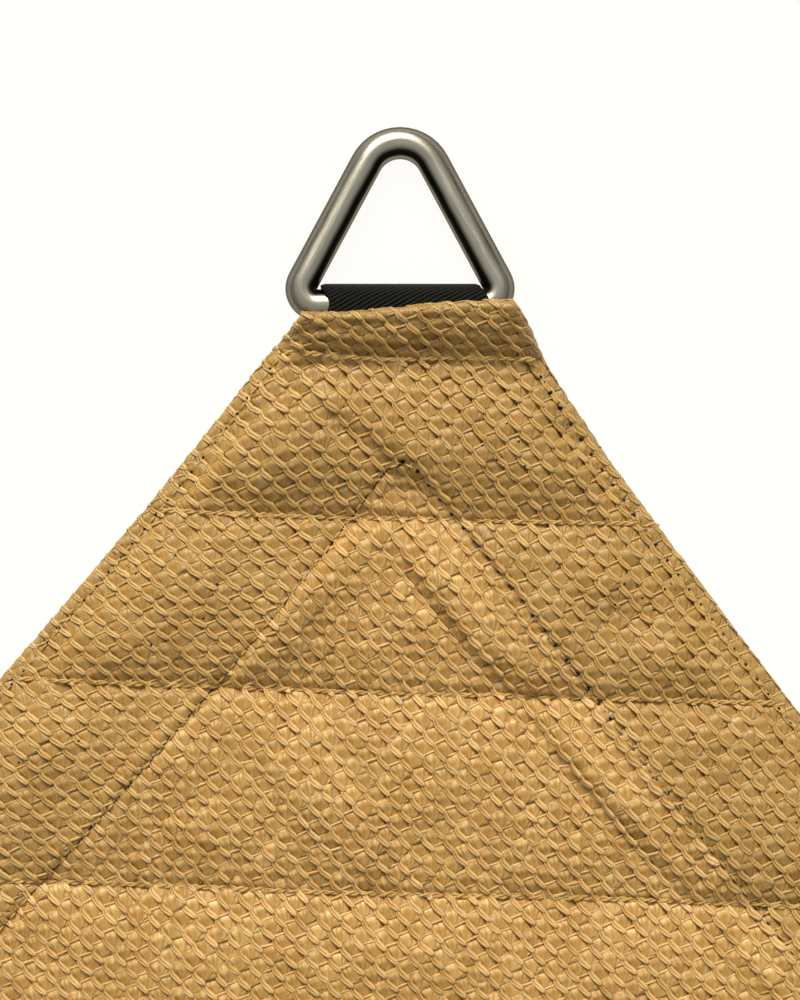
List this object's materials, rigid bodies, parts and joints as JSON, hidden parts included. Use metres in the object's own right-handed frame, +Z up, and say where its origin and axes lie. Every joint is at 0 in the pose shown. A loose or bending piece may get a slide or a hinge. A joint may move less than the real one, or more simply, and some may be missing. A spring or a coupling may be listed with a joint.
{
  "type": "shade sail",
  "caption": "Square sand-coloured knitted shade sail with hollow sides, quilted corners and a triangle ring on a webbing loop at every corner, laid out flat.",
  "frame": {"origin": "centre of the sail on the surface that it lies on", "axes": "+Z up, square to the cloth; the sides run along X and Y, and ring_1 is the corner at +X and +Y, with ring_2 to ring_4 anticlockwise from it"},
  "size_m": [2.0228, 2.0228, 0.0143],
  "materials": {
    "sand_knit": "sand-coloured knitted polyethylene tape and yarn, semi-matt with small bright facets",
    "black_webbing": "black woven polyester webbing with diagonal ribs, matt",
    "brushed_stainless": "satin brushed stainless steel wire"
  },
  "bodies": {
    "root": {"sail_cloth": "sand_knit", "patch_1": "sand_knit", "patch_2": "sand_knit", "patch_3": "sand_knit", "patch_4": "sand_knit", "webbing_loop_1": "black_webbing", "webbing_loop_2": "black_webbing", "webbing_loop_3": "black_webbing", "webbing_loop_4": "black_webbing", "ring_1": "brushed_stainless", "ring_2": "brushed_stainless", "ring_3": "brushed_stainless", "ring_4": "brushed_stainless"}
  },
  "joints": []
}
